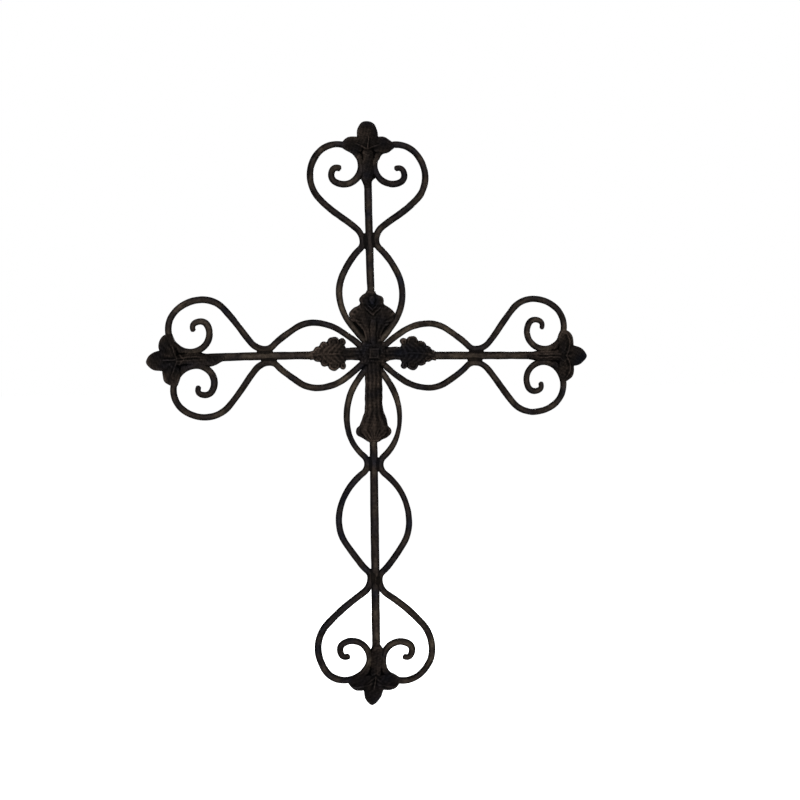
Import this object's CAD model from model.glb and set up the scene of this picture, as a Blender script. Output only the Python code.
"""The looks of a wrought iron wall cross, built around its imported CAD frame.

Lengths are millimetres until place() turns them into the frame's metres. On each arm u runs
outwards from the crossing, v runs across the arm and w runs towards the front.
"""
import math
from collections import namedtuple

import bpy
import numpy as np
import openvdb
from mathutils import Matrix, Vector


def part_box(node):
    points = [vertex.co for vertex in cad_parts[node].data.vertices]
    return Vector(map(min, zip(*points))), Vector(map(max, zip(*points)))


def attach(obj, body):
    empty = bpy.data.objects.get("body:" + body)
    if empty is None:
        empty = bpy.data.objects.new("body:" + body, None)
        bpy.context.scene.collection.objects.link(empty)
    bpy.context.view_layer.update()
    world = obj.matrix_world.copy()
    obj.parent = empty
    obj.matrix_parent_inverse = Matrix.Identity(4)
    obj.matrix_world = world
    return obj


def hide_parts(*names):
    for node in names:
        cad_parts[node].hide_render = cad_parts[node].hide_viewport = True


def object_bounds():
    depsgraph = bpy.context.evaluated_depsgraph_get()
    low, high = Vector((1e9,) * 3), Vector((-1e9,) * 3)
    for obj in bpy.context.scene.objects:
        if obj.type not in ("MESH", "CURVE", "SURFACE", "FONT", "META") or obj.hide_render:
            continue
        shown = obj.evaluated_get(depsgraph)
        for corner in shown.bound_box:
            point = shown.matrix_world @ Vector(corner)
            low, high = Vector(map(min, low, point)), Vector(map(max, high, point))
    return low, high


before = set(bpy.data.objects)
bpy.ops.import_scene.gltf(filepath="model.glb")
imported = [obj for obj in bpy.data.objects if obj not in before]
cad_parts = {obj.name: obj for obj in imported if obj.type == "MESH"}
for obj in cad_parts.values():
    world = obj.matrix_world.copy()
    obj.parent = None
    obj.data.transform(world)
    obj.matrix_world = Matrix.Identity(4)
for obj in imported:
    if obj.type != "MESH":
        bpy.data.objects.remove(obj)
cad_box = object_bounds()

MM = 0.001
SEED = 7
# About a full turn, the range of the phase of a random wave
AROUND = 6.3


# ---- sizes read from the frame ----------------------------------------
def span(node, axis):
    low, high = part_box(node)
    return low[axis] / MM, high[axis] / MM


X, Y, Z = 0, 1, 2
BAR_R = (span("cross_bar", Y)[1] - span("cross_bar", Y)[0]) / 2
ROD_R = (span("scroll_top_left", Y)[1] - span("scroll_top_left", Y)[0]) / 2
CROSSING = sum(span("cross_bar", Z)) / 2
REACH = {
    "top": span("finial_top", Z)[1] - CROSSING,
    "left": -span("finial_left", X)[0],
    "right": span("finial_right", X)[1],
    "foot": CROSSING - span("finial_foot", Z)[0],
}
FRONT = -span("centre_ornament", Y)[0]
# The frame's origin is the mouth of the hanging hole, in the back of the top finial
HOLE_U = -CROSSING

# ---- sizes shared with the CAD model ----------------------------------
# Tip of a finial beyond the crest of its heart, and end of a bar beyond the same crest
OVERHANG = {"top": 23.5, "left": 25, "right": 25, "foot": 26}
CREST = {arm: REACH[arm] - OVERHANG[arm] for arm in REACH}
BAR_END = {"top": 2.5, "left": 5, "right": 5, "foot": 4}
# Length of a heart from waist to crest, then half widths to the middle of the rod
HEART_LENGTH = {"top": 100.4, "left": 97.2, "right": 97.2, "foot": 107}
PETAL_HALF = {"top": 33, "left": 33.7, "right": 33.7, "foot": 28}
HEART_HALF = 60
LOOP_HALF = 37
CURL_HALF = 38
# Widest place of a petal, as a share of the way to the first waist
PETAL_AT = {"top": 0.55, "left": 0.55, "right": 0.55, "foot": 0.57}
# First waist of the foot, as a share of the way to its heart
FIRST_WAIST = 0.485
# Where a curl touches its bar, back from the crest
CURL_TOUCH = 22
# Start of a rod on the diagonal between two bars
ROD_START = 8.4
# Depth a rod is let into its bar, and the same at the waist of the foot's heart
SEAT = 0.15
DEEP_SEAT = 2.5
TOUCH = BAR_R + ROD_R - SEAT
LET_IN = BAR_R + ROD_R - DEEP_SEAT
SIDE_BY_SIDE = ROD_R * math.sqrt(2) + 0.01
# Heights of the castings over the middle plane of the bars
RIM = BAR_R + 0.65
CROWN = RIM + 3
HOLE_R = 2.5
HOLE_DEPTH = 4.5

# Directions of u and v in the plane of the cross, as (x, z)
ARMS = {
    "top": ((0, 1), (-1, 0)),
    "left": ((-1, 0), (0, -1)),
    "right": ((1, 0), (0, 1)),
    "foot": ((0, -1), (1, 0)),
}

# How far a hand-made cross is out of true, in mm: the middle is pushed aside, the side arms are
# turned and droop, the right heart and the lower arm are pushed aside, and the foot leans back
PUSHED_ASIDE = 1.9
TURNED = 1.3
DROOP = 3.3
RIGHT_ASIDE = 1.1
FOOT_ASIDE = 0.9
FOOT_LEAN = 5.2
# Where the lower arm starts to go aside, below the crossing, and over what length
ASIDE_FROM = 90
ASIDE_OVER = 90
# Where the foot starts to lean, short of its crest, and over what length
LEAN_BEFORE = 20
LEAN_OVER = 45


def bump(x):
    """A smooth hump, 1 at the middle and nothing beyond 1 on either side."""
    return np.where(np.abs(x) < 1, np.cos(np.clip(x, -1, 1) * math.pi / 2) ** 2, 0)


def out_of_true(x, z):
    """Sideways and downward bend at x and z from the crossing. It fades out towards the top."""
    sooner_above = 1.6
    away = np.hypot(x, np.where(z > 0, sooner_above * z, z)) / REACH["top"]
    centre = PUSHED_ASIDE * np.clip(1 - away ** 2, 0, 1) ** 2
    low = np.clip((-z - ASIDE_FROM) / ASIDE_OVER, 0, 1)
    lean = np.clip((-z - CREST["foot"] + LEAN_BEFORE) / LEAN_OVER, 0, 1)
    arm = x / REACH["right"]
    drop = TURNED * np.sin(3.2 * arm) + DROOP * np.abs(arm) ** 3
    heart = RIGHT_ASIDE * bump((arm - 0.6) / 0.45)
    return centre + heart + FOOT_ASIDE * low - FOOT_LEAN * lean, drop


def place(arm, u, v, w):
    """Points of an arm as rows of frame coordinates, in metres."""
    (ux, uz), (vx, vz) = ARMS[arm]
    u, v, w = np.broadcast_arrays(u, v, w)
    x, z = ux * u + vx * v, uz * u + vz * v
    aside, drop = out_of_true(x, z)
    points = np.stack([x + aside, -w, CROSSING + z - drop], -1)
    return points.reshape(-1, 3) * MM


# ---- paths of the rods ------------------------------------------------
# A path is a list of stations (u, v, heading in degrees). Two arcs join each to the next.
def heart(waist, crest, half, rise=(24.5, 27.5, 56)):
    """Curled half of a heart, from its waist to the end of the curl."""
    return [
        (waist + rise[0], rise[1], rise[2]),
        (crest - 33, half, 0),
        (crest, 31, -90),
        (crest - CURL_TOUCH, TOUCH, -180),
        (crest - 41, 25.5, -270),
        (crest - 32, CURL_HALF, -360),
        (crest - 24.3, 32.5, -450),
        (crest - 25.6, 27.6, -475),
    ]


def waist_in(u, v):
    """Way in to a waist at u, where the middle of the rod is v from that of the bar."""
    return [(u - 15, 10 + v, -38), (u, v, 0)]


def petal(arm, offset, waist):
    """Way out from the crossing to the widest place of the petal."""
    start = (ROD_START, ROD_START - SIDE_BY_SIDE * offset, 45)
    return [start, (PETAL_AT[arm] * waist, PETAL_HALF[arm], 0)]


def short_path(arm, offset, du, dv):
    """A rod of a short arm, which strays by du along the arm and dv across it."""
    crest = CREST[arm] + du
    waist = crest - HEART_LENGTH[arm]
    end = heart(waist, crest, HEART_HALF + dv)
    return petal(arm, offset, waist) + waist_in(waist, TOUCH) + end


def foot_path(arm, offset, du, dv):
    """A rod of the foot, with one loop more between its petal and its heart."""
    crest = CREST[arm] + du
    low = crest - HEART_LENGTH[arm]
    mid = FIRST_WAIST * low
    loop = [(mid + 18.6, 21, 42), ((mid + low) / 2, LOOP_HALF + dv / 2, 0)]
    end = heart(low, crest, HEART_HALF + dv, (27, 28.3, 51))
    return petal(arm, offset, mid) + waist_in(mid, TOUCH) + loop + waist_in(low, LET_IN) + end


# side is 1 or -1, the sign of v where the rod lies. offset sets its start aside, and stray moves
# it along and across the arm. drawn is how thin its curled end is, and stretches are thinner or
# thicker ones, each as (share of the length, reach in mm, width).
Rod = namedtuple("Rod", "arm side offset stray drawn stretches")
# The stretches that both rods of the foot have
FOOT_STRETCHES = [(0.33, 18, 0.92), (0.62, 80, 1.09), (0.95, 24, 1.08)]
RODS = {
    "scroll_top_left": Rod("top", 1, 1.5, (-0.6, 0.2), 0.96, [(0.86, 12, 1.05)]),
    "scroll_top_right": Rod("top", -1, 1.5, (0.6, -0.2), 0.86, [(0.5, 30, 1.04)]),
    "scroll_left_upper": Rod("left", -1, 0.5, (2, 0.3), 0.8, [(0.12, 22, 0.95)]),
    "scroll_left_lower": Rod("left", 1, 0.5, (-2, 0.7), 0.8, [(0.3, 20, 0.96)]),
    "scroll_right_upper": Rod("right", 1, 0.5, (0.8, 0), 0.72, [(0.4, 25, 0.96)]),
    "scroll_right_lower": Rod("right", -1, 0.5, (-0.8, -0.2), 0.76, [(0.2, 25, 0.95)]),
    "scroll_foot_left": Rod("foot", -1, 1.5, (-1, 1), 0.92, [(0.17, 20, 0.86), *FOOT_STRETCHES]),
    "scroll_foot_right": Rod("foot", 1, 1.5, (1, -1), 0.92, [(0.14, 24, 0.72), *FOOT_STRETCHES]),
}


def rod_stations(name):
    rod = RODS[name]
    path = foot_path if rod.arm == "foot" else short_path
    return path(rod.arm, rod.offset, *rod.stray)


def pointing(heading):
    return np.array([math.cos(heading), math.sin(heading)])


def arc(a, b, heading):
    """Radius and turn of the arc from a to b that leaves a at this heading."""
    ahead = pointing(heading)
    left = np.array([-ahead[1], ahead[0]])
    gap = b - a
    turn = 2 * math.atan2(ahead[0] * gap[1] - ahead[1] * gap[0], ahead @ gap)
    return (gap @ gap) / (2 * (gap @ left)), turn


def joint_of_arcs(p, q):
    """Point where the two arcs between stations p and q meet."""
    leave, arrive = pointing(math.radians(p[2])), pointing(math.radians(q[2]))
    a, b = np.array(p[:2], float), np.array(q[:2], float)
    gap = b - a
    along, turned = gap @ (leave + arrive), 1 - leave @ arrive
    if turned < 1e-6:
        reach = gap @ gap / (4 * (gap @ arrive))
    else:
        reach = (math.sqrt(along * along + 2 * turned * (gap @ gap)) - along) / (2 * turned)
    return (a + b + reach * (leave - arrive)) / 2


def trace(stations, step):
    """Points, headings and lengths along a path, about a step apart."""
    points, headings = [], []
    for p, q in zip(stations, stations[1:]):
        a, b, middle = np.array(p[:2], float), np.array(q[:2], float), joint_of_arcs(p, q)
        heading = math.radians(p[2])
        for start, end in ((a, middle), (middle, b)):
            radius, turn = arc(start, end, heading)
            count = max(2, math.ceil(abs(radius * turn) / step))
            at = heading + turn * np.arange(count) / count
            hub = start + radius * np.array([-math.sin(heading), math.cos(heading)])
            points.append(hub + radius * np.stack([np.sin(at), -np.cos(at)], -1))
            headings.append(at)
            heading += turn
    points.append(b[None])
    headings.append(np.array([heading]))
    points, headings = np.concatenate(points), np.concatenate(headings)
    gaps = np.hypot(*np.diff(points, axis=0).T)
    return points, headings, np.concatenate([[0], np.cumsum(gaps)])


# ---- hand work --------------------------------------------------------
def wander(lengths, reach, seed):
    """A smooth random line from -1 to 1 along a rod, changing over about this reach."""
    rng = np.random.default_rng(seed)
    knots = np.arange(-2, lengths[-1] / reach + 3)
    values = rng.uniform(-1, 1, len(knots))
    at = lengths / reach
    low = np.floor(at).astype(int) + 2
    t = at - np.floor(at)
    t = t * t * (3 - 2 * t)
    return values[low] * (1 - t) + values[low + 1] * t


def hammered(lengths, angles, seed, blow=5.5, depth=0.085):
    """Share of a round bar's radius that hammer blows leave at each length and angle."""
    rng = np.random.default_rng(seed)
    shape = np.ones((len(lengths), len(angles)))
    # Blows for each blow's length of bar, and the least cosine at which one still flattens
    overlap = 2.6
    steepest = 0.4
    for _ in range(int(lengths[-1] / blow * overlap)):
        middle = rng.uniform(0, lengths[-1])
        reach = rng.uniform(0.7, 1.5) * blow
        near = np.abs(lengths - middle) < reach
        facing = rng.integers(0, 4) * math.pi / 2 + rng.normal(0, 0.35)
        from_middle = (lengths[near] - middle) / reach
        press = 1 - depth * rng.uniform(0.3, 1) * np.cos(from_middle * math.pi / 2)
        lean = np.cos(angles - facing)
        flat = press[:, None] / np.maximum(lean, steepest)[None, :]
        shape[near] = np.minimum(shape[near], np.where(lean > steepest, flat, 1))
    return shape


# ---- patina -----------------------------------------------------------
# Places where the patina turns blue-black (below 0) or brown (above 0): arm, u, v, reach, tone
SHADES = [
    ("right", 44, 0, 19, -1.3),
    ("right", 24, 3, 9, -0.5),
    ("left", 43, 0, 20, 0.8),
    ("left", 22, 0, 9, 0.5),
    ("top", 59, 0, 8, -1.2),
    ("top", 38, 0, 20, 0.5),
    ("top", 2, 0, 15, -0.45),
    ("top", 232, -7, 9, -1.1),
    ("top", 231, 6, 7, 0.2),
    ("top", 206, 0, 12, 0.35),
    ("top", 186, 3, 9, 0.5),
    ("foot", 30, 0, 22, 0.2),
    ("foot", 76, 0, 20, 0.45),
    ("foot", 346, 0, 24, -0.7),
    ("foot", 322, 0, 10, 0.5),
    ("right", 222, 0, 16, -0.6),
    ("right", 190, 4, 12, 0.6),
    ("left", 205, -8, 20, -0.3),
    ("top", 62, 33, 22, 0.9),
    ("right", 34, 24, 20, 0.8),
    ("left", 36, 26, 20, 0.7),
    ("foot", 40, -24, 16, 0.9),
    ("foot", 46, 25, 16, 0.8),
    ("left", 64, -33, 16, -0.7),
    ("foot", 80, -26, 22, -0.4),
    ("foot", 176, 37, 34, -0.7),
    ("foot", 176, -37, 34, -0.6),
    ("foot", 290, -60, 34, -0.5),
    ("foot", 270, 50, 26, -0.4),
    ("right", 40, 0, 200, 0.05),
]


def tone_at(points):
    """Shade of the patina at each point: the named places, and slow changes all over."""
    tone = np.zeros(len(points))
    fall = 1.6
    for arm, u, v, reach, shade in SHADES:
        away = np.linalg.norm(points - place(arm, u, v, 0), axis=1) / MM
        tone += shade * np.exp(-((away / reach) ** 2) * fall)
    rng = np.random.default_rng(SEED)
    for wave in (70, 40, 23, 14):
        for _ in range(3):
            way = rng.normal(size=3)
            way /= np.linalg.norm(way)
            tone += 0.1 * np.sin(points @ way / MM * 2 * math.pi / wave + rng.uniform(0, AROUND))
    return np.clip(tone, -1, 1)


# ---- meshes -----------------------------------------------------------
def add_piece(name, points, faces, slot, nodes, relief=None):
    """A mesh that rides on the cross, stands for CAD nodes and carries its shades of patina."""
    mesh = bpy.data.meshes.new(name)
    mesh.from_pydata(points.tolist(), [], faces)
    mesh.validate()
    mesh.update()
    mesh.shade_smooth()
    tone = mesh.attributes.new("tone", "FLOAT", "POINT")
    tone.data.foreach_set("value", tone_at(points).astype(np.float32))
    raised = mesh.attributes.new("raised", "FLOAT", "POINT")
    if relief is not None:
        raised.data.foreach_set("value", relief.astype(np.float32))
    piece = bpy.data.objects.new(name, mesh)
    bpy.context.scene.collection.objects.link(piece)
    mesh.materials.append(IRON[slot])
    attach(piece, "root")
    if nodes:
        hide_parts(*nodes)


def tube(arm, side, points, headings, radii, lift, spread=1):
    """Rings of a swept bar with a pole at each end.

    radii is one row for each ring. lift moves a ring forwards, and spread widens it across.
    """
    rings, sides = radii.shape
    angles = np.linspace(0, 2 * math.pi, sides, endpoint=False)
    across = radii * np.cos(angles) * np.reshape(spread, (-1, 1))
    u = points[:, 0, None] - across * np.sin(headings)[:, None]
    v = points[:, 1, None] + across * np.cos(headings)[:, None]
    w = radii * np.sin(angles) + lift[:, None]
    body = place(arm, u, side * v, w)
    poles = place(arm, points[[0, -1], 0], side * points[[0, -1], 1], lift[[0, -1]])
    ring, turn = np.meshgrid(np.arange(rings - 1), np.arange(sides), indexing="ij")
    here, there = ring * sides + turn, ring * sides + (turn + 1) % sides
    quads = np.stack([here, there, there + sides, here + sides], -1).reshape(-1, 4)
    around = np.arange(sides)
    first, last = rings * sides, rings * sides + 1
    start = np.stack([np.full(sides, first), (around + 1) % sides, around], -1)
    tail = (rings - 1) * sides
    end = np.stack([np.full(sides, last), tail + around, tail + (around + 1) % sides], -1)
    faces = quads.tolist() + start.tolist() + end.tolist()
    if side < 0:
        faces = [face[::-1] for face in faces]
    return np.concatenate([body, poles]), faces


# Sides of a bar or rod, and steps along them
ROUND = 24
ROD_STEP = 1.1
BAR_STEP = 1.2
# How much thicker than nominal hammering left the rods, and how much wider the bars. Each bar
# is wider still towards the end where its u is lowest: the foot, or the left side.
FORGED = 1.1
BAR_SPREAD = 1.06
END_SPREAD = 0.08
# Length over which the curled end of a rod is drawn thin
DRAWN_LENGTH = 26
# Wear of the front and the back, how much less the sides have, and wear of what stands proud
FRONT_WEAR = 1.75
BACK_WEAR = 1.5
SIDES_SPARED = 0.9
PROUD_WEAR = 7


def rounded_ends(lengths, start, end):
    """Share of the radius left at each ring where a bar is rounded over start and end, in mm."""
    reach = np.minimum(lengths / start, (lengths[-1] - lengths) / end)
    least = 0.0004
    return np.sqrt(np.maximum(1 - (1 - np.clip(reach, 0, 1)) ** 2, least))


def rubbed(radii, angles):
    """How worn each point of a bar is, from -1 to 1: most in front and where no blow fell."""
    usual = np.median(radii, axis=1)[:, None] + 1e-6
    facing = np.sin(angles)[None, :]
    flats = np.where(facing > 0, FRONT_WEAR, BACK_WEAR) * np.abs(facing) - SIDES_SPARED
    proud = PROUD_WEAR * (radii / usual - 1)
    poles = [-1, -1]
    return np.append(np.clip(flats + proud, -1, 1).ravel(), poles)


def add_rod(name):
    """A hammered rod that thins at its curl and sways a little along its path."""
    rod = RODS[name]
    seed = SEED + sorted(RODS).index(name)
    points, headings, lengths = trace(rod_stations(name), ROD_STEP)
    angles = np.linspace(0, 2 * math.pi, ROUND, endpoint=False)
    uneven = 1 + 0.035 * wander(lengths, 26, seed) + 0.02 * wander(lengths, 9, seed + 50)
    size = FORGED * ROD_R * uneven
    left = lengths[-1] - lengths
    size = size * (1 - (1 - rod.drawn) * np.clip(1 - left / DRAWN_LENGTH, 0, 1) ** 1.3)
    for share, reach, width in rod.stretches:
        size = size * (1 - (1 - width) * bump((lengths - share * lengths[-1]) / reach / 1.6))
    size = size * rounded_ends(lengths, 1.5, 2.4)
    radii = size[:, None] * hammered(lengths, angles, seed)
    sway = 0.3 * wander(lengths, 31, seed + 90)
    shift = sway * np.clip(lengths / 30, 0, 1)
    points = points + shift[:, None] * np.stack([-np.sin(headings), np.cos(headings)], -1)
    lift = 0.25 * wander(lengths, 44, seed + 120) * np.clip(lengths / 40, 0, 1)
    body, faces = tube(rod.arm, rod.side, points, headings, radii, lift)
    add_piece(name, body, faces, "scrolls", [name], rubbed(radii, angles))


def add_bar(name, arm, start, end, seed, keep_back):
    """A bar from start to end along an arm, halved at the crossing where the other passes."""
    lengths = np.arange(0, end - start + BAR_STEP / 2, BAR_STEP)
    u = start + lengths * (end - start) / lengths[-1]
    points = np.stack([u, np.zeros_like(u)], -1)
    angles = np.linspace(0, 2 * math.pi, ROUND, endpoint=False)
    size = BAR_R * (1 + 0.02 * wander(lengths, 30, seed) + 0.015 * wander(lengths, 8, seed + 1))
    size = size * rounded_ends(lengths, 1, 1)
    blows = hammered(lengths, angles, seed + 2, blow=6, depth=0.07)
    radii = np.minimum(size[:, None] * blows, BAR_R * 1.02)
    points[:, 1] = 0.25 * wander(lengths, 60, seed + 3)
    spread = BAR_SPREAD + END_SPREAD * np.clip((-120 - u) / 60, 0, 1)
    body, faces = tube(arm, 1, points, np.zeros_like(u), radii, np.zeros_like(u), spread)
    crossing = np.append(np.repeat(np.abs(u) < BAR_R, ROUND), [False, False])
    half = body[crossing, 1]
    body[crossing, 1] = np.maximum(half, 0) if keep_back else np.minimum(half, 0)
    add_piece(name, body, faces, "bars", [name], rubbed(radii, angles))


# ---- fields -----------------------------------------------------------
# Castings and welds are fields of signed distance in millimetres, negative inside.
def smooth_min(a, b, blend):
    """The lesser of a and b, with a round fillet where they come within blend of each other."""
    near = np.clip(blend - np.abs(a - b), 0, None) / blend
    return np.minimum(a, b) - near * near * blend / 4


def smooth_max(a, b, blend):
    return -smooth_min(-a, -b, blend)


def field_mesh(field, corner, step):
    """Surface of a field sampled on a grid of u, v, w from this corner."""
    clipped = np.clip(field, -2 * step, 2 * step).astype(np.float32)
    clipped = np.pad(clipped, 1, constant_values=2 * step)
    cells = openvdb.FloatGrid(2 * step)
    cells.copyFromArray(clipped)
    points, quads = cells.convertToQuads(0.0)
    points = (points.astype(float) - 1) * step + np.asarray(corner)
    return points, quads.astype(int)


def outward(arm, points, quads):
    """Places a field's surface on its arm and turns its faces outwards."""
    body = place(arm, points[:, 0], points[:, 1], points[:, 2])
    a, b, c, d = (body[quads[:, corner]] for corner in range(4))
    volume = (a * (np.cross(b, c) + np.cross(c, d))).sum()
    return body, (quads[:, ::-1] if volume < 0 else quads).tolist()


def to_path(u, v, points):
    """Distance in the plane from each u, v to the nearest of a path's points."""
    gaps = np.full(np.shape(u), 1e9)
    for a, b in points:
        gaps = np.minimum(gaps, (u - a) ** 2 + (v - b) ** 2)
    return np.sqrt(gaps)


# ---- castings ---------------------------------------------------------
# A casting is a front height over an outline, both worked out on a flat grid of u and v. In
# these functions a is how far a place is from the middle line, on either side.
def grid(u_range, v_half, step):
    """A flat grid of u and v, equally wide on both sides of the middle line."""
    u = np.arange(u_range[0], u_range[1] + step, step)
    v = np.arange(-v_half, v_half + step, step)
    return np.meshgrid(u, v, indexing="ij")


def ellipse(u, v, centre, radii, turn=0):
    """Signed distance to an ellipse on each side of the middle line."""
    c, s = math.cos(math.radians(turn)), math.sin(math.radians(turn))
    x, y = u - centre[0], np.abs(v) - centre[1]
    x, y = c * x + s * y, c * y - s * x
    q = np.hypot(x / radii[0], y / radii[1])
    away = np.hypot(x / radii[0] ** 2, y / radii[1] ** 2) + 1e-9
    return q * (q - 1) / away


def smooth_line(x, points):
    """A curve through points (x, y) that never swings past them."""
    at, y = np.array(points, float).T
    slope = np.diff(y) / np.diff(at)
    both = slope[1:] * slope[:-1]
    mean = 2 * both / np.where(both > 0, slope[1:] + slope[:-1], 1)
    lean = np.concatenate([slope[:1], np.where(both > 0, mean, 0), slope[-1:]])
    k = np.clip(np.searchsorted(at, x) - 1, 0, len(at) - 2)
    gap = at[k + 1] - at[k]
    t = np.clip((x - at[k]) / gap, 0, 1)
    ease = t * t * (3 - 2 * t)
    curve = t * (1 - t) * ((1 - t) * lean[k] - t * lean[k + 1]) * gap
    return y[k] * (1 - ease) + y[k + 1] * ease + curve


def band(u, v, profile):
    """Signed distance to a strip along u whose half width is a list of (u, half width)."""
    width = smooth_line(u, profile)
    slope = smooth_line(u + 0.5, profile) - smooth_line(u - 0.5, profile)
    side = (np.abs(v) - width) / np.sqrt(1 + slope ** 2)
    return np.maximum(side, np.maximum(profile[0][0] - u, u - profile[-1][0]))


def dome(d, reach):
    """Height from 0 at the edge to 1 a reach inside it, rounded like a quarter circle."""
    t = 1 - np.clip(-d / reach, 0, 1)
    return np.sqrt(1 - t * t)


def blur(values, cells):
    """Mean over a square of this many cells on each side."""
    for axis in (0, 1):
        pad = [(cells, cells) if axis == k else (0, 0) for k in (0, 1)]
        total = np.cumsum(np.pad(values, pad, mode="edge"), axis=axis)
        count = values.shape[axis]
        high = np.take(total, np.arange(2 * cells, count + 2 * cells), axis=axis)
        low = np.take(total, np.arange(0, count), axis=axis)
        values = (high - low) / (2 * cells)
    return values


# Rounding of a casting's front and back edges, and how worn its flat back is
FRONT_EDGE = 1.6
BACK_EDGE = 0.6
BACK_WORN = 0.25


def add_casting(name, arm, slot, u, v, outline, height, step, cut=None, deep=0.55):
    """A closed solid between a flat back and the front height, inside the outline.

    cut is a field to take away, and deep is the relief that counts as fully raised or sunk.
    """
    w = np.arange(-1.0, FRONT + 1.5, step)
    rise = np.hypot(*np.gradient(height, step))
    top = (w - height[:, :, None]) / np.sqrt(1 + np.minimum(rise, 1.5) ** 2)[:, :, None]
    field = smooth_max(outline[:, :, None], top, FRONT_EDGE)
    field = smooth_max(field, -w, BACK_EDGE)
    if cut is not None:
        field = np.maximum(field, -cut(w))
    points, quads = field_mesh(field, (u[0, 0], v[0, 0], w[0]), step)
    raised = np.clip((height - blur(height, int(2.4 / step))) / deep, -1, 1)
    raised = np.where(height < WEB + 0.6, -1, raised)
    row = np.clip(np.rint((points[:, 0] - u[0, 0]) / step).astype(int), 0, u.shape[0] - 1)
    column = np.clip(np.rint((points[:, 1] - v[0, 0]) / step).astype(int), 0, u.shape[1] - 1)
    shown = np.clip((points[:, 2] - 0.4) / 0.6, 0, 1)
    dark_edge = np.exp(-((outline[row, column] / 1.1) ** 2))
    relief = np.where(shown > 0, raised[row, column] * shown, BACK_WORN) - dark_edge
    body, faces = outward(arm, points, quads)
    add_piece(name, body, faces, slot, [name], relief)


def chevron(u, v, apex, lean, width):
    """A ridge in a V on the middle line, its apex at this u, leaning outwards along u."""
    return bump((u - apex - lean * np.abs(v)) / width / math.sqrt(1 + lean * lean))


# Steps of the grids, and of the paths that castings and welds follow
FINIAL_STEP = 0.4
ORNAMENT_STEP = 0.46
WELD_STEP = 0.5
PATH_STEP = 0.6
WELD_PATH_STEP = 0.7
# How the ornament sits off the crossing, its buds nearer to it and a little tilted
ORNAMENT_ASIDE = 0.6
ORNAMENT_RAISED = 2
BUDS_IN = 1.3
BUDS_TILT = 0.0145
# How much fuller all round the ornament came out of its mould
FULLER = 0.35
# Height of the thin metal that fills a hollow between limbs and rods
WEB = 1.5
# Half the width of the round middle of a finial's stem, at most
STALK_HALF = 6.9


def swell(outline, edge, rise, reach):
    """Front height of a form that rises from its edge and falls away outside its outline."""
    fall = 2.4
    return edge + rise * dome(outline, reach) - fall * np.clip(outline, 0, None)


def ribs(across, pitch):
    """Rounded ribs side by side, one on the middle line, from -1 in a groove to 1 on a rib."""
    wave = np.cos(across * 2 * math.pi / pitch)
    return np.sign(wave) * np.abs(wave) ** 0.8


def cast_wander(u, v, seed, reach):
    """The same places moved a little, so that nothing on a casting is quite straight or even."""
    rng = np.random.default_rng(seed)
    moved = [u.copy(), v.copy()]
    for axis in (0, 1):
        for wave in (31, 19, 12, 8):
            way, phase = rng.uniform(0, AROUND, 2)
            ripple = np.sin((u * math.cos(way) + v * math.sin(way)) * AROUND / wave + phase)
            moved[axis] = moved[axis] + reach * ripple * min(1, wave / 16)
    return moved


def sand_marks(u, v, seed, depth=0.07):
    """The uneven skin of a sand casting."""
    rng = np.random.default_rng(seed)
    marks = np.zeros_like(u)
    for wave in (11, 7, 4.5, 3.3, 2.4):
        way, phase = rng.uniform(0, AROUND, 2)
        ripple = np.sin((u * math.cos(way) + v * math.sin(way)) * AROUND / wave + phase)
        marks = marks + depth * ripple
    return marks


# ---- finials ----------------------------------------------------------
# Seeds of what is uneven on each
FINIAL_SEED = {"top": 3, "left": 4, "right": 5, "foot": 4}
# The rod of each arm whose curl a finial covers
UNDER = {
    "top": "scroll_top_left",
    "left": "scroll_left_lower",
    "right": "scroll_right_upper",
    "foot": "scroll_foot_right",
}
# How far its leaves rise above the crest, and how far the casting stands out from the rod
LEAF_RISE = {"top": 8.2, "left": 10.6, "right": 10.8, "foot": 10.6}
COVER = 0.45
# Half the width of its petal, and how long a pointed one keeps its width towards the tip
PETAL = {"top": 11, "left": 10.8, "right": 11.7, "foot": 11.2}
POINTED = {"left": 3.1, "right": 2.3, "foot": 1.9}
# How much further out the leaf on one side sits than the leaf on the other, halved
SKEW = {"top": 0, "left": -2, "right": 0, "foot": 0}
# Finials with a sharp nose on the middle line, between the leaves and the petal
NOSED = ("top", "left", "foot")
# Height of the two fine ridges down the stem
AXIS_RIDGE = {"left": 0.4, "right": 0.4, "foot": 0.12}
# The stem under the leaves: height over the crest, and how far it stands out from the bar
STEM = {
    "top": [(-46, 0), (-40, 0.8), (-37, 2.1), (-34.5, 4.5), (-28, 4.4), (-17, 4)],
    "left": [(-55, 0), (-50, 0.4), (-43, 1.5), (-35.5, 3), (-28, 3.2), (-17, 3.2)],
    "right": [(-42, 0), (-35, 0.5), (-31, 1.6), (-26, 2.8), (-17, 3.1)],
    "foot": [(-44, 0), (-38, 0.5), (-35.3, 1.8), (-31, 3.5), (-17, 3.3)],
}
# Where a stem stands more to one side: height over the crest, reach, how far
STEM_ASIDE = {
    "top": (-36, 8, 1.3),
    "left": (-40, 15, 2.7),
    "right": (-31, 12, -0.5),
    "foot": (-34, 8, 0.3),
}
# Ridges that meet on the middle line: height of the apex over the crest, lean, bow, reach, strength
RIDGES = {
    "top": [(-5.5, 0.42, 0, 14, 0.7), (-12.5, 0.6, 0, 8, 0.4)],
    "left": [(-6.5, 0.38, 0, 16, 0.75), (-13, 0.8, 0, 8, 0.4)],
    "right": [(1.5, 0, 4.2, 25, 0.8), (-7, 1, 0, 8, 0.25)],
    "foot": [(0.5, 0.2, 2.5, 25, 0.6), (-4.5, 0.85, 0, 11, 0.7), (-9, 0.9, 0, 9, 0.5)],
}


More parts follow.
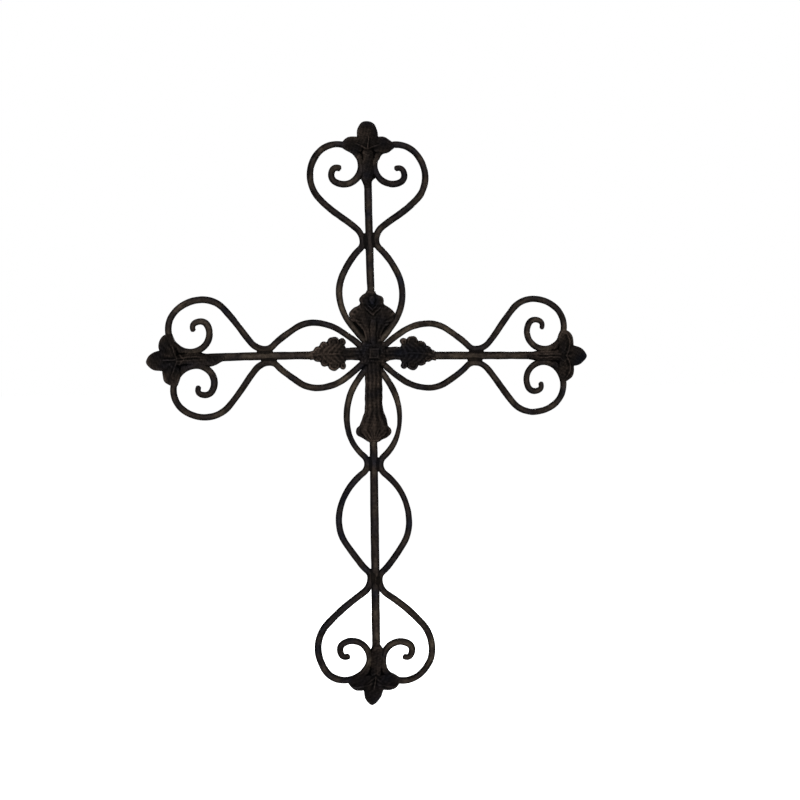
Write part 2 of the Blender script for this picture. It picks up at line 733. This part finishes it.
def petal_outline(u, v, arm):
    """The end petal: round at the top of the cross, drawn to a point on the other arms."""
    crest, tip, half = CREST[arm], REACH[arm], PETAL[arm]
    if arm == "top":
        away = np.hypot(np.maximum(u - (tip - half), 0), v) - half
    else:
        base = crest + 5
        t = np.clip((u - base) / (tip - base), 0, 1)
        width = half * (1 - t ** POINTED[arm]) ** 0.58
        slope = np.abs(np.gradient(width, FINIAL_STEP, axis=0))
        away = np.maximum((np.abs(v) - width) / np.sqrt(1 + np.minimum(slope, 3) ** 2), u - tip)
    return np.maximum(away, crest - 6 - u)


def carve_finial(arm, u, v, outline, height):
    """Adds the ridges, the nose, the flutes of the petal and the two ridges down the stem."""
    crest = CREST[arm]
    a, up = np.abs(v), u - crest
    inside = np.clip(-outline / 1.6, 0, 1)
    for rise, lean, bow, reach, strength in RIDGES[arm]:
        away = (up - rise - lean * a - bow * np.sin(a * math.pi / 25)) / math.sqrt(1 + lean * lean)
        fade = inside * strength * np.clip((reach - a) / 4, 0, 1)
        height = height + fade * (bump(away / 1.25) - 0.3 * bump((away + 2.6) / 1.8))
    if arm in NOSED:
        nose = bump(v / 1.15) * np.clip((up + 6.5) / 3, 0, 1) * np.clip((9 - up) / 5, 0, 1)
        height = height + 1.3 * nose
    if arm != "top":
        flutes = np.cos(13 * np.arctan2(v, np.maximum(up + 6, 0.1)))
        flutes = flutes * np.clip((up + 1) / 3, 0, 1) * np.clip((12 - up) / 6, 0, 1)
        height = height + 0.3 * inside * flutes
        axis = (bump((a - 1.7) / 1.2) - 0.8 * bump(v / 1.1)) * np.clip((crest - 3 - u) / 4, 0, 1)
        height = height + AXIS_RIDGE[arm] * axis * np.clip((u - crest + 36) / 10, 0, 1)
    return height


def stem_forms(arm, u, v):
    """Outline and front height of the stem, a round stalk with a thin web on each side."""
    crest = CREST[arm]
    shape = [(crest + rise, BAR_R + 0.05 + more) for rise, more in STEM[arm]]
    shape += [(crest - 12, 8.6), (crest - 7, 11.5), (crest - 3, 14), (crest + 3, 14)]
    where, reach, aside = STEM_ASIDE[arm]
    from_stem = v - aside * bump((u - crest - where) / reach)
    outline = band(u, from_stem, shape)
    half = np.minimum(smooth_line(u, shape), STALK_HALF)
    stalk = np.sqrt(np.maximum(half ** 2 - from_stem ** 2, 0)) * np.minimum(1, (RIM + 1.2) / half)
    stalk = stalk * np.clip((crest + 4 - u) / 8, 0, 1)
    return outline, np.maximum(stalk, np.where(outline < 1, WEB + 0.5, 0))


def add_finial(arm):
    """A petal between two leaves over the curls, on a stem that narrows to the bar."""
    crest, tip = CREST[arm], REACH[arm]
    flat_u, flat_v = grid((crest + STEM[arm][0][0] - 2, tip + 1), 31, FINIAL_STEP)
    u, v = cast_wander(flat_u, flat_v, SEED + 40 + FINIAL_SEED[arm], 0.22)
    end_petal = petal_outline(u, v, arm)
    skewed = u - SKEW[arm] * np.clip(v / 14, -1, 1)
    leaf = ellipse(skewed, v, (crest + LEAF_RISE[arm] - 8.8, 14.2), (8.8, 12.6), 4)
    stem, stalk = stem_forms(arm, u, v)
    path = trace(rod_stations(UNDER[arm]), PATH_STEP)[0]
    near = (path[:, 0] > crest - 15) & (path[:, 1] > 9) & (path[:, 1] < 25)
    to_rod = to_path(skewed + SKEW[arm], np.abs(v), path[near])
    cover_r = FORGED * ROD_R + COVER
    outline = smooth_min(smooth_min(stem, to_rod - cover_r, 2), leaf, 1.5)
    outline = smooth_min(outline, end_petal, 0.8)
    cover = np.sqrt(np.maximum((cover_r + 0.3) ** 2 - to_rod ** 2, 0))
    height = smooth_max(smooth_max(stalk, cover, 0.6), swell(leaf, RIM - 1.2, 2.1, 6.5), 0.8)
    height = smooth_max(height, swell(end_petal, RIM - 1.4, CROWN - RIM + 0.5, PETAL[arm]), 0.9)
    height = carve_finial(arm, u, v, outline, height)
    height = height + sand_marks(u, v, SEED + FINIAL_SEED[arm], 0.06)
    height = np.minimum(height, CROWN + 1.2)
    hole = np.hypot(flat_u - HOLE_U, flat_v) - HOLE_R

    def hanging_hole(w):
        return np.maximum(hole[:, :, None], w - HOLE_DEPTH)

    cut = hanging_hole if arm == "top" else None
    add_casting("finial_" + arm, arm, "finials", flat_u, flat_v, outline, height, FINIAL_STEP, cut)


# ---- centre ornament --------------------------------------------------
def upper_limb(u, v):
    """The tulip that opens upwards over the petals, and the cap with its smooth nodule."""
    a = np.abs(v)
    flare = band(u, v, [
        (-2, 8), (17, 8.1), (24, 9), (28.5, 12), (34, 17.6), (38.5, 22.2), (42, 24.3),
        (46, 22.6), (50, 18.2), (53, 12.9), (56, 11.5), (62, 9.5), (65, 5.4), (67.5, BAR_R + 0.2)])
    cap = ellipse(u, v, (57.2, 8.3), (5.2, 4.4), 12)
    outline = smooth_min(flare, cap, 0.8)
    height = swell(flare, RIM - 1.5, 2.5, 8)
    shoulder = ellipse(u, v, (43.2, 14.2), (7.6, 10.6), 22)
    height = smooth_max(height, swell(shoulder, RIM - 0.9, 2.3, 6), 1)
    height = smooth_max(height, swell(cap, RIM - 0.9, 1.9, 3) + 0.45 * bump((cap + 1) / 0.9), 0.6)
    spread = smooth_line(u, [(0, 0.95), (18, 1), (28, 1.35), (36, 2.1), (47, 3)])
    on_shaft = np.clip(-flare / 1.8, 0, 1) * np.clip((47 - u) / 6, 0, 1)
    height = height + 0.4 * on_shaft * ribs(v / spread, 4.3)
    tongue = band(u, v, [(6, 2.9), (20, 3.2), (30, 3.7), (35, 3.4), (38, 1.8)])
    height = smooth_max(height, swell(tongue, RIM + 0.9, 1.6, 3.5), 0.5)
    around = np.arctan2(a, u - 31)
    rim = np.clip((flare + 6) / 2, 0, 1) * np.clip(-flare / 0.8, 0, 1)
    rim = rim * np.clip((a - 9) / 3, 0, 1) * np.clip((u - 31) / 4, 0, 1)
    height = height + 0.42 * rim * np.cos(30 * around)
    inside = np.clip(-outline / 1.5, 0, 1)
    ridges = ((42.5, 0.85, 9.5, 0.95), (47.4, 0.95, 6.5, 0.8), (51.4, 0.8, 5, 0.5))
    for apex, lean, reach, strength in ridges:
        fade = np.clip((reach - a) / 2, 0, 1)
        height = height + inside * fade * strength * chevron(u, v, apex, lean, 1.15)
        height = height - inside * fade * 0.7 * strength * chevron(u, v, apex - 2.3, lean, 1.1)
    nodule = ellipse(u, v, (57.6, 0), (4.9, 3.6))
    return outline, smooth_max(height, swell(nodule, RIM + 0.6, 2.7, 3.4), 0.4)


def lower_limb(u, v):
    """The long shaft with a flange on each side, and the vase that it opens into. u runs down."""
    a = np.abs(v)
    flare = band(u, v, [
        (-2, 9.1), (34, 9.1), (48, 9.2), (57, 10), (66, 12.4), (73, 14.6), (79, 16.2),
        (84.5, 14.4), (88, 9.4), (90.4, BAR_R + 0.5)])
    lip = ellipse(u, v, (79.4, 12.2), (5.8, 6.5), 8)
    outline = smooth_min(flare, lip, 1)
    height = swell(outline, RIM - 1.7, 1.4, 3)
    body = band(u, v, [(-2, 6.6), (48, 6.7), (58, 7.6), (68, 11), (78, 14.4), (86, 9), (89.5, 4)])
    height = smooth_max(height, swell(body, RIM - 0.4, 2.4, 6.5), 0.7)
    spread = smooth_line(u, [(0, 1), (50, 1), (60, 1.25), (70, 1.85), (80, 2.5), (90, 2.6)])
    on_body = np.clip(-body / 1.2, 0, 1) * np.clip((85 - u) / 5, 0, 1)
    strength = 0.23 + 0.25 * np.clip((u - 55) / 8, 0, 1)
    height = height + strength * on_body * ribs(v / spread, 4.2)
    height = height + 0.4 * bump((outline + 1.7) / 1.4) * np.clip((u - 72) / 4, 0, 1)
    around = np.arctan2(a, 92 - u)
    scallops = 0.3 * np.cos(22 * around) * np.clip((u - 76) / 3, 0, 1)
    return outline, height + scallops * np.clip(-outline / 1.5, 0, 1)


def side_limb(u, v):
    """A short neck and a bud of lobed leaves. u runs outwards on either side."""
    a = np.abs(v)
    neck = band(u, v, [(-2, 7.4), (18, 6.7), (29, 6.3), (33, 6.4), (60, 5.2), (67, BAR_R + 0.5)])
    leaf = band(u, v, [
        (30.2, 7), (32, 10.4), (37, 12.6), (44, 13.4), (50, 11), (56, 7.8), (62, 5.2), (66, 4.4)])
    outline = smooth_min(neck, leaf, 0.8)
    height = smooth_max(swell(neck, RIM - 1.4, 2.2, 5), swell(leaf, RIM - 1.2, 2.6, 7), 0.5)
    for centre, radii, blend in (
            ((33.4, 12.4), (3.4, 3.8), 0.7), ((42.4, 11.8), (6.2, 6), 0.9),
            ((51.8, 8.6), (4.6, 4.2), 1.6), ((58.6, 5.2), (3.9, 2.8), 2)):
        lobe = ellipse(u, v, centre, radii)
        outline = smooth_min(outline, lobe, blend)
        curl = swell(lobe, RIM - 1.1, 2, 3.4) + 0.5 * bump((lobe + 1.3) / 1.1)
        height = smooth_max(height, curl - 0.5 * bump((lobe + 3.2) / 1.3), 0.5)
    inside = np.clip(-outline / 1.4, 0, 1)
    bud = np.clip((u - 31) / 3, 0, 1) * inside
    veins = 0.3 * np.cos((u + 0.5 * a + 0.045 * a * a) * 2 * math.pi / 6.1)
    veins = veins * np.clip(a / 2, 0, 1) * np.clip((12 - a) / 3, 0, 1)
    height = height + bud * (veins + 0.5 * bump(v / 1.3))
    spread = smooth_line(u, [(0, 0.9), (14, 0.9), (33, 1.25)])
    return outline, height + 0.26 * inside * np.clip((33 - u) / 4, 0, 1) * ribs(v / spread, 4.4)


def boss(u, v):
    """The rough rosette over the crossing: lobed corners and studs around a small square."""
    along, across = np.abs(u), np.abs(v)
    corners = (along + across) / math.sqrt(2) - 15.6
    outline = smooth_max(np.maximum(along - 11.8, across - 13.4), corners, 3)
    rng = np.random.default_rng(SEED + 60)
    studs = np.zeros_like(u)
    for turn in np.radians(np.arange(20, 380, 30)):
        at_u = 12.9 * math.sin(turn) + rng.uniform(-1, 1)
        at_v = 14.2 * math.cos(turn) + rng.uniform(-1, 1)
        lobe = np.hypot(u - at_u, v - at_v) - rng.uniform(2.3, 3.3)
        outline = smooth_min(outline, lobe, 1.2)
    height = swell(outline, RIM - 0.6, 3, 7)
    pitch = 2.9
    for row in np.arange(-11, 12, pitch):
        for column in np.arange(-11.5, 12, pitch):
            at_u = row + rng.uniform(-0.8, 0.8)
            at_v = column + rng.uniform(-0.8, 0.8)
            size = rng.uniform(1.0, 1.7)
            stud = rng.uniform(0.35, 1) * bump(np.hypot(u - at_u, v - at_v) / size)
            studs = np.maximum(studs, stud)
    height = height + 0.75 * studs * np.clip(-outline / 1.5, 0, 1)
    block = np.maximum(along, across)
    height = smooth_max(height, swell(block - 5.8, RIM + 2, 2.4, 3.6), 0.5)
    height = height + 0.3 * bump((block - 4.3) / 0.9) - 0.3 * bump((block - 2.9) / 0.9)
    return outline, height + 0.2 * bump(block / 1.6)


def petal_web(u, v):
    """Thin metal in the hollows between the shaft and the two petals that pass behind it."""
    low, high = 6, 39
    path = trace(rod_stations("scroll_top_left"), PATH_STEP)[0]
    start = path[: int(np.argmax(path[:, 0] > high + 5))]
    middle = np.interp(u, start[:, 0], start[:, 1])
    return np.maximum(np.maximum(np.abs(v) - middle, low - u), u - high)


def add_ornament():
    """The casting over the crossing, its limbs joined under the boss."""
    u, v = grid((-91.5, 70), 68, ORNAMENT_STEP)
    x, y = cast_wander(u, v, SEED + 31, 0.24)
    y = y + ORNAMENT_ASIDE * np.clip((66 - u) / 14, 0, 1) * np.clip((u + 90) / 14, 0, 1)
    side = x - (ORNAMENT_RAISED - BUDS_TILT * v) * np.clip((66 - np.abs(v)) / 12, 0, 1)
    outline, height = upper_limb(x, y)
    buds = side_limb(np.abs(y) + BUDS_IN, side)
    for other, rise in (lower_limb(-x, y), buds, boss(x - ORNAMENT_RAISED, y)):
        outline = smooth_min(outline, other, 0.9)
        height = smooth_max(height, rise, 0.5)
    outline = outline - FULLER
    web = petal_web(u, v)
    outline = np.minimum(outline, web)
    height = np.maximum(height, np.where(web < 0.5, WEB, 0)) + sand_marks(u, v, SEED + 30)
    height = np.minimum(height, FRONT)
    add_casting("centre_ornament", "top", "ornament", u, v, outline, height, ORNAMENT_STEP, deep=0.8)


# ---- welds ------------------------------------------------------------
def weld_field(arm, side, at_u, reach, name, fill):
    """Weld metal in the narrow gap between a rod and its bar, about this place on the bar."""
    path = trace(rod_stations(name), WELD_PATH_STEP)[0]
    close = (np.abs(path[:, 0] - at_u) < reach + 8) & (path[:, 1] < 26)
    along = np.arange(at_u - reach, at_u + reach, WELD_STEP)
    u, v = np.meshgrid(along, np.arange(-1, 18, WELD_STEP), indexing="ij")
    w = np.arange(-5, 5.2, WELD_STEP)
    rod = np.hypot(to_path(u, v, path[close])[:, :, None], w) - ROD_R
    bar = np.hypot(v[:, :, None], w) - BAR_R
    rough = 0.12 * np.sin(u * 3.1)[:, :, None] * np.cos(w * 2.3)
    fade = np.clip(1.3 - np.abs(u - at_u) / reach, 0, 1)[:, :, None]
    field = smooth_min(rod, bar, fill) + 0.42 + (1 - fade) * 0.8 + rough
    points, quads = field_mesh(field, (u[0, 0], v[0, 0], w[0]), WELD_STEP)
    points[:, 1] *= side
    return outward(arm, points, quads)


def add_welds():
    """Weld metal at the waists and where the curls touch the bars, as one piece."""
    bodies, faces, count = [], [], 0
    for name, rod in RODS.items():
        crest = CREST[rod.arm] + rod.stray[0]
        waist = crest - HEART_LENGTH[rod.arm]
        curl = crest - CURL_TOUCH
        spots = [(waist, 11, 6.5), (curl, 11, 5)]
        if rod.arm == "foot":
            spots = [(FIRST_WAIST * waist, 11, 6.5), (waist, 10, 6), (curl, 12, 5)]
        for at_u, reach, fill in spots:
            body, quads = weld_field(rod.arm, rod.side, at_u, reach, name, fill)
            bodies.append(body)
            faces += [[corner + count for corner in face] for face in quads]
            count += len(body)
    add_piece("weld_metal", np.concatenate(bodies), faces, "bars", [])


# ---- materials --------------------------------------------------------
# Shades of the patina, and the browns of forged and of cast iron
BLUE_BLACK = (0.0038, 0.0039, 0.0054, 1)
DARK = (0.0080, 0.0062, 0.0054, 1)
BROWN = (0.0212, 0.0164, 0.0120, 1)
RED_BROWN = (0.0222, 0.0161, 0.0127, 1)


def node(tree, kind, **settings):
    made = tree.nodes.new(kind)
    for key, value in settings.items():
        setattr(made, key, value)
    return made


def noise(tree, coordinates, scale, detail, rough=0.55):
    made = node(tree, "ShaderNodeTexNoise")
    made.inputs["Scale"].default_value = scale
    made.inputs["Detail"].default_value = detail
    made.inputs["Roughness"].default_value = rough
    tree.links.new(coordinates, made.inputs["Vector"])
    return made.outputs["Fac"]


def scaled(tree, value, low, high, to_low, to_high):
    """Turns low to high into to_low to to_high, and keeps the result between these."""
    made = node(tree, "ShaderNodeMapRange")
    ends = {"From Min": low, "From Max": high, "To Min": to_low, "To Max": to_high}
    for socket, number in ends.items():
        made.inputs[socket].default_value = number
    tree.links.new(value, made.inputs["Value"])
    return made.outputs["Result"]


def maths(tree, operation, a, b):
    """Result of a Math node. b may be a plain number."""
    made = node(tree, "ShaderNodeMath", operation=operation)
    for socket, value in zip(made.inputs, (a, b)):
        if isinstance(value, (int, float)):
            socket.default_value = value
        else:
            tree.links.new(value, socket)
    return made.outputs[0]


def iron(name, brown, lift, contrast, grain, rough):
    """Old dark iron: patina from blue-black to brown, worn on what stands proud, pitted all over.

    lift is how bright the wear is, contrast keeps it to what stands proudest, grain is the depth
    of the pits in mm and rough the usual roughness.
    """
    material = bpy.data.materials.new(name)
    material.use_nodes = True
    tree = material.node_tree
    shader = tree.nodes["Principled BSDF"]
    where = node(tree, "ShaderNodeTexCoord").outputs["Object"]
    tone = node(tree, "ShaderNodeAttribute", attribute_name="tone").outputs["Fac"]
    raised = node(tree, "ShaderNodeAttribute", attribute_name="raised").outputs["Fac"]
    blotch = noise(tree, where, 55, 4)
    fine = noise(tree, where, 420, 5, 0.6)
    pits = noise(tree, where, 900, 3, 0.7)
    blotches = scaled(tree, blotch, 0.3, 0.7, -0.22, 0.22)
    shade = maths(tree, "ADD", scaled(tree, tone, -1, 1, 0, 1), blotches)
    ramp = node(tree, "ShaderNodeValToRGB")
    ramp.color_ramp.elements[0].position = 0.05
    ramp.color_ramp.elements[0].color = BLUE_BLACK
    ramp.color_ramp.elements[1].position = 0.95
    ramp.color_ramp.elements[1].color = brown
    ramp.color_ramp.elements.new(0.48).color = DARK
    tree.links.new(shade, ramp.inputs["Fac"])
    proud = maths(tree, "POWER", scaled(tree, raised, -1, 1, 0, 1), contrast)
    rubs = scaled(tree, proud, 0, 1, 0.04 * lift, 3.55 * lift)
    wear = maths(tree, "MULTIPLY", scaled(tree, fine, 0.3, 0.75, 0.45, 1.85), rubs)
    tinted = node(tree, "ShaderNodeVectorMath", operation="SCALE")
    tree.links.new(ramp.outputs["Color"], tinted.inputs[0])
    tree.links.new(wear, tinted.inputs["Scale"])
    tree.links.new(tinted.outputs[0], shader.inputs["Base Color"])
    tree.links.new(scaled(tree, fine, 0.3, 0.7, rough - 0.1, rough + 0.12), shader.inputs["Roughness"])
    shader.inputs["Specular IOR Level"].default_value = 0.015
    relief = maths(tree, "ADD", fine, maths(tree, "MULTIPLY", pits, 0.5))
    bumps = node(tree, "ShaderNodeBump")
    bumps.inputs["Strength"].default_value = 0.55
    bumps.inputs["Distance"].default_value = grain * MM
    tree.links.new(relief, bumps.inputs["Height"])
    tree.links.new(bumps.outputs["Normal"], shader.inputs["Normal"])
    return material


IRON = {
    "bars": iron("forged_bars", BROWN, 1.0, 2.9, 0.45, 0.56),
    "scrolls": iron("forged_scrolls", BROWN, 0.94, 2.9, 0.45, 0.56),
    "finials": iron("cast_finials", RED_BROWN, 0.86, 2.2, 0.55, 0.6),
    "ornament": iron("cast_ornament", RED_BROWN, 0.92, 1.9, 0.6, 0.62),
}


# ---- stage ------------------------------------------------------------
# What the lamps point at, and what the camera looks at
MIDDLE = Vector((0, 0, (cad_box[0][2] + cad_box[1][2]) / 2))
VIEWED = Vector((0.030, 0, CROSSING * MM - 0.047))


def seen_directly(tree):
    """1 for rays from the camera, off gloss or through glass, 0 for the light that falls."""
    path = node(tree, "ShaderNodeLightPath")
    first = maths(tree, "MAXIMUM", path.outputs["Is Camera Ray"], path.outputs["Is Glossy Ray"])
    return maths(tree, "MAXIMUM", first, path.outputs["Is Transmission Ray"])


def white_world():
    """White to the camera and in gloss, and faint as a light."""
    world = bpy.data.worlds.new("white_studio")
    bpy.context.scene.world = world
    world.use_nodes = True
    tree = world.node_tree
    background = tree.nodes["Background"]
    background.inputs["Color"].default_value = (1, 1, 1, 1)
    strength = scaled(tree, seen_directly(tree), 0, 1, 0.12, 1)
    tree.links.new(strength, background.inputs["Strength"])


def pale_floor():
    """A plain floor below the hanging cross. Its glow is seen by the camera and in gloss only."""
    drop = 0.25
    level = cad_box[0][2] - drop
    half = 40
    corners = [(x * half, y * half, level) for x, y in ((-1, -1), (1, -1), (1, 1), (-1, 1))]
    mesh = bpy.data.meshes.new("floor")
    mesh.from_pydata(corners, [], [(0, 1, 2, 3)])
    floor = bpy.data.objects.new("floor", mesh)
    bpy.context.scene.collection.objects.link(floor)
    material = bpy.data.materials.new("pale_floor")
    material.use_nodes = True
    tree = material.node_tree
    tree.nodes.clear()
    diffuse = node(tree, "ShaderNodeBsdfDiffuse")
    diffuse.inputs["Color"].default_value = (0.72, 0.72, 0.72, 1)
    glow = node(tree, "ShaderNodeEmission")
    tree.links.new(scaled(tree, seen_directly(tree), 0, 1, 0, 0.93), glow.inputs["Strength"])
    both = node(tree, "ShaderNodeAddShader")
    tree.links.new(diffuse.outputs[0], both.inputs[0])
    tree.links.new(glow.outputs[0], both.inputs[1])
    tree.links.new(both.outputs[0], node(tree, "ShaderNodeOutputMaterial").inputs["Surface"])
    mesh.materials.append(material)


def aim(thing, where, target, roll=0):
    thing.location = where
    turn = (Vector(target) - Vector(where)).to_track_quat("-Z", "Y").to_matrix()
    thing.rotation_euler = (turn @ Matrix.Rotation(roll, 3, "Z")).to_euler()


def soft_light(name, where, size, watts):
    """A round lamp, size metres across, that points at the middle of the cross."""
    lamp = bpy.data.lights.new(name, "AREA")
    lamp.shape = "DISK"
    lamp.size = size
    lamp.energy = watts
    thing = bpy.data.objects.new(name, lamp)
    bpy.context.scene.collection.objects.link(thing)
    aim(thing, where, MIDDLE)


def camera():
    """Looks at the front a little from the left and from above."""
    lens = bpy.data.cameras.new("camera")
    lens.sensor_width = 36
    lens.lens = 51.5
    thing = bpy.data.objects.new("camera", lens)
    bpy.context.scene.collection.objects.link(thing)
    yaw, pitch, roll = math.radians(-6.4), math.radians(1.32), math.radians(-0.875)
    distance = 1.2
    level = math.cos(pitch)
    way = Vector((math.sin(yaw) * level, -math.cos(yaw) * level, math.sin(pitch)))
    aim(thing, VIEWED + way * distance, VIEWED, roll)
    bpy.context.scene.camera = thing


# ---- the whole scene --------------------------------------------------
BAR_TIP = {arm: CREST[arm] + BAR_END[arm] for arm in ARMS}
for rod_name in RODS:
    add_rod(rod_name)
add_bar("upright_bar", "top", -BAR_TIP["foot"], BAR_TIP["top"], SEED + 200, True)
add_bar("cross_bar", "right", -BAR_TIP["left"], BAR_TIP["right"], SEED + 210, False)
for arm_name in ARMS:
    add_finial(arm_name)
add_ornament()
add_welds()

white_world()
pale_floor()
# Each lamp: place in metres, size in metres, power in watts
soft_light("key", (-0.45, -1.85, 0.35), 0.7, 27)
soft_light("fill", (0.8, -1.75, -0.4), 0.9, 8)
soft_light("back", (0.5, 1.9, 0.2), 0.9, 50)
camera()
bpy.context.scene.view_settings.view_transform = "Standard"
